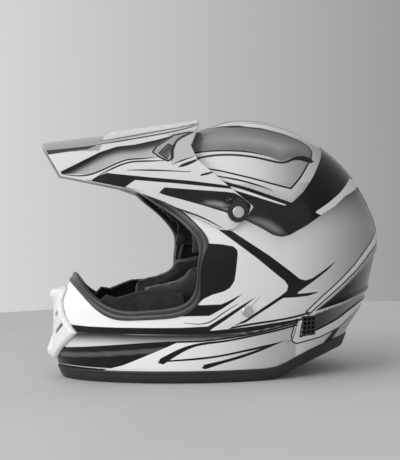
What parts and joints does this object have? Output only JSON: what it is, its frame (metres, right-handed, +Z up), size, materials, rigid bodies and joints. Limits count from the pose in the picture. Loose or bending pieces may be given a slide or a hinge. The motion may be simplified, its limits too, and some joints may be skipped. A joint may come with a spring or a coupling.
{
  "type": "off-road helmet with peak",
  "caption": "Full-face off-road helmet with a tilting peak, rubber edge trims, vented chin bar, foam liner, comfort pads and a double D-ring chin strap.",
  "frame": {"origin": "middle of the bounding box at the flat underside of the base trim", "axes": "+Z up as worn and as it stands, +X towards the back of the helmet (it faces -X), +Y towards the wearer's right"},
  "size_m": [0.3574, 0.264, 0.2695],
  "materials": {
    "shell_white": "gloss",
    "peak_white": "gloss",
    "trim_rubber": "satin",
    "foam_dark": "matte",
    "comfort_fabric": "matte",
    "cover_white": "satin",
    "mesh_black": "matte",
    "screw_metal": "satin",
    "steel": "polished",
    "insert_steel": "satin",
    "washer_black": "satin",
    "webbing": "matte"
  },
  "bodies": {
    "helmet": {"outer_shell": "shell_white", "base_trim": "trim_rubber", "eyeport_trim": "trim_rubber", "impact_liner_front": "foam_dark", "impact_liner_rear": "foam_dark", "chin_bar_foam": "foam_dark", "crown_liner": "comfort_fabric", "neck_roll": "comfort_fabric", "cheek_pad_left": "comfort_fabric", "cheek_pad_right": "comfort_fabric", "mouth_vent_cover": "cover_white", "mouth_vent_mesh": "mesh_black", "rear_grille_left": "mesh_black", "rear_grille_right": "mesh_black", "pivot_nut_left": "insert_steel", "pivot_nut_right": "insert_steel", "centre_nut": "insert_steel", "chin_strap_left": "webbing", "chin_strap_right": "webbing", "strap_rivet_left": "steel", "strap_rivet_right": "steel", "snap_stud": "steel"},
    "peak": {"peak": "peak_white", "peak_washer_left": "washer_black", "peak_washer_right": "washer_black"},
    "screw_left": {"peak_screw_left": "screw_metal"},
    "screw_right": {"peak_screw_right": "screw_metal"},
    "screw_centre": {"centre_screw": "screw_metal"},
    "d_ring_low": {"d_ring_low": "steel"},
    "d_ring_high": {"d_ring_high": "steel"}
  },
  "joints": [
    {"name": "peak_tilt", "type": "hinge", "parent": "helmet", "child": "peak", "pos_m": [0.0093, 0, 0.172], "axis": [0, 1, 0], "range_deg": [0, 10]},
    {"name": "screw_left_turn", "type": "hinge", "parent": "helmet", "child": "screw_left", "pos_m": [0.0093, -0.12, 0.172], "axis": [0, -1, 0], "continuous": true},
    {"name": "screw_right_turn", "type": "hinge", "parent": "helmet", "child": "screw_right", "pos_m": [0.0093, 0.12, 0.172], "axis": [0, 1, 0], "continuous": true},
    {"name": "screw_centre_turn", "type": "hinge", "parent": "helmet", "child": "screw_centre", "pos_m": [-0.02441, 0, 0.25545], "axis": [-0.3746, 0, 0.9272], "continuous": true},
    {"name": "d_ring_low_swing", "type": "hinge", "parent": "helmet", "child": "d_ring_low", "pos_m": [0.018, 0.047, 0.0054], "axis": [-1, 0, 0], "range_deg": [0, 25]},
    {"name": "d_ring_high_swing", "type": "hinge", "parent": "helmet", "child": "d_ring_high", "pos_m": [0.018, 0.047, 0.0093], "axis": [-1, 0, 0], "range_deg": [-12, 60]}
  ]
}
